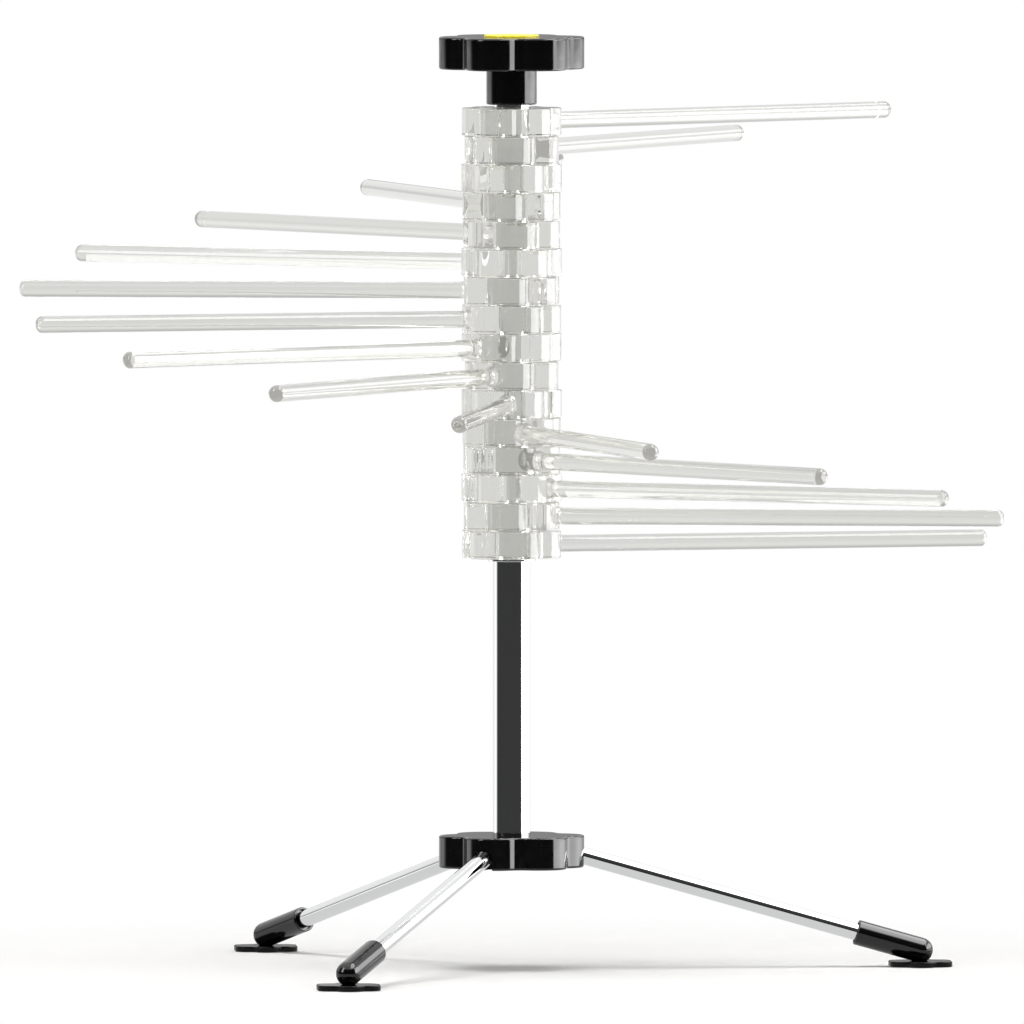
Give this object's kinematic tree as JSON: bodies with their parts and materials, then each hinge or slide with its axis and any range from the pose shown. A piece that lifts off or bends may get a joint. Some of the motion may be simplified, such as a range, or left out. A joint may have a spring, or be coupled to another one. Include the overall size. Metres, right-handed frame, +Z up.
{
  "type": "pasta drying rack",
  "caption": "Free-standing rack with a spiral fan of clear arms on a bright tube, a lift-out wand with a black knob, and fold-down legs with round feet.",
  "frame": {"origin": "on the column's axis, at the height of the table", "axes": "+Z up along the column, the front is towards -Y, +X to the right"},
  "size_m": [0.4688, 0.4691, 0.4449],
  "materials": {
    "clear_plastic": "clear, polished",
    "chrome": "polished",
    "black_plastic": "gloss",
    "yellow_plastic": "satin",
    "steel": "ground"
  },
  "bodies": {
    "stand": {"column_tube": "chrome", "hub_body": "black_plastic", "right_pivot_pin": "steel", "rear_pivot_pin": "steel", "front_pivot_pin": "steel", "right_pin_keeper": "black_plastic", "rear_pin_keeper": "black_plastic", "front_pin_keeper": "black_plastic"},
    "wand": {"knob": "black_plastic", "knob_emblem": "yellow_plastic", "wand_rod": "clear_plastic"},
    "arm_01_body": {"arm_01": "clear_plastic"},
    "arm_02_body": {"arm_02": "clear_plastic"},
    "arm_03_body": {"arm_03": "clear_plastic"},
    "arm_04_body": {"arm_04": "clear_plastic"},
    "arm_05_body": {"arm_05": "clear_plastic"},
    "arm_06_body": {"arm_06": "clear_plastic"},
    "arm_07_body": {"arm_07": "clear_plastic"},
    "arm_08_body": {"arm_08": "clear_plastic"},
    "arm_09_body": {"arm_09": "clear_plastic"},
    "arm_10_body": {"arm_10": "clear_plastic"},
    "arm_11_body": {"arm_11": "clear_plastic"},
    "arm_12_body": {"arm_12": "clear_plastic"},
    "arm_13_body": {"arm_13": "clear_plastic"},
    "arm_14_body": {"arm_14": "clear_plastic"},
    "arm_15_body": {"arm_15": "clear_plastic"},
    "arm_16_body": {"arm_16": "clear_plastic"},
    "right_leg": {"right_leg_rod": "chrome", "right_foot_sleeve": "black_plastic", "right_foot_disc": "black_plastic"},
    "rear_leg": {"rear_leg_rod": "chrome", "rear_foot_sleeve": "black_plastic", "rear_foot_disc": "black_plastic"},
    "front_leg": {"front_leg_rod": "chrome", "front_foot_sleeve": "black_plastic", "front_foot_disc": "black_plastic"}
  },
  "joints": [
    {"name": "fan_swivel", "type": "hinge", "parent": "stand", "child": "arm_16_body", "pos_m": [0, 0, 0.2024], "axis": [0, 0, 1], "continuous": true},
    {"name": "arm_15_swing", "type": "hinge", "parent": "arm_16_body", "child": "arm_15_body", "pos_m": [0, 0, 0.21581], "axis": [0, 0, 1], "range_deg": [0, 22.39]},
    {"name": "arm_14_swing", "type": "hinge", "parent": "arm_15_body", "child": "arm_14_body", "pos_m": [0, 0, 0.22922], "axis": [0, 0, 1], "range_deg": [0, 22.39]},
    {"name": "arm_13_swing", "type": "hinge", "parent": "arm_14_body", "child": "arm_13_body", "pos_m": [0, 0, 0.24263], "axis": [0, 0, 1], "range_deg": [0, 22.39]},
    {"name": "arm_12_swing", "type": "hinge", "parent": "arm_13_body", "child": "arm_12_body", "pos_m": [0, 0, 0.25604], "axis": [0, 0, 1], "range_deg": [0, 22.39]},
    {"name": "arm_11_swing", "type": "hinge", "parent": "arm_12_body", "child": "arm_11_body", "pos_m": [0, 0, 0.26945], "axis": [0, 0, 1], "range_deg": [0, 22.39]},
    {"name": "arm_10_swing", "type": "hinge", "parent": "arm_11_body", "child": "arm_10_body", "pos_m": [0, 0, 0.28286], "axis": [0, 0, 1], "range_deg": [0, 22.39]},
    {"name": "arm_09_swing", "type": "hinge", "parent": "arm_10_body", "child": "arm_09_body", "pos_m": [0, 0, 0.29627], "axis": [0, 0, 1], "range_deg": [0, 22.39]},
    {"name": "arm_08_swing", "type": "hinge", "parent": "arm_09_body", "child": "arm_08_body", "pos_m": [0, 0, 0.30968], "axis": [0, 0, 1], "range_deg": [0, 22.39]},
    {"name": "arm_07_swing", "type": "hinge", "parent": "arm_08_body", "child": "arm_07_body", "pos_m": [0, 0, 0.32309], "axis": [0, 0, 1], "range_deg": [0, 22.39]},
    {"name": "arm_06_swing", "type": "hinge", "parent": "arm_07_body", "child": "arm_06_body", "pos_m": [0, 0, 0.3365], "axis": [0, 0, 1], "range_deg": [0, 22.39]},
    {"name": "arm_05_swing", "type": "hinge", "parent": "arm_06_body", "child": "arm_05_body", "pos_m": [0, 0, 0.34991], "axis": [0, 0, 1], "range_deg": [0, 22.39]},
    {"name": "arm_04_swing", "type": "hinge", "parent": "arm_05_body", "child": "arm_04_body", "pos_m": [0, 0, 0.36332], "axis": [0, 0, 1], "range_deg": [0, 22.39]},
    {"name": "arm_03_swing", "type": "hinge", "parent": "arm_04_body", "child": "arm_03_body", "pos_m": [0, 0, 0.37673], "axis": [0, 0, 1], "range_deg": [0, 22.39]},
    {"name": "arm_02_swing", "type": "hinge", "parent": "arm_03_body", "child": "arm_02_body", "pos_m": [0, 0, 0.39014], "axis": [0, 0, 1], "range_deg": [0, 22.39]},
    {"name": "arm_01_swing", "type": "hinge", "parent": "arm_02_body", "child": "arm_01_body", "pos_m": [0, 0, 0.40355], "axis": [0, 0, 1], "range_deg": [0, 22.39]},
    {"name": "wand_lift", "type": "slide", "parent": "stand", "child": "wand", "axis": [0, 0, 1], "range_m": [0, 0.25]},
    {"name": "right_leg_fold", "type": "hinge", "parent": "stand", "child": "right_leg", "pos_m": [0.02581, 0.00312, 0.05615], "axis": [-0.1201, 0.9928, 0], "range_deg": [0, 74]},
    {"name": "rear_leg_fold", "type": "hinge", "parent": "stand", "child": "rear_leg", "pos_m": [-0.01561, 0.02079, 0.05615], "axis": [-0.7997, -0.6004, 0], "range_deg": [0, 74]},
    {"name": "front_leg_fold", "type": "hinge", "parent": "stand", "child": "front_leg", "pos_m": [-0.0102, -0.02391, 0.05615], "axis": [0.9198, -0.3923, 0], "range_deg": [0, 74]}
  ]
}
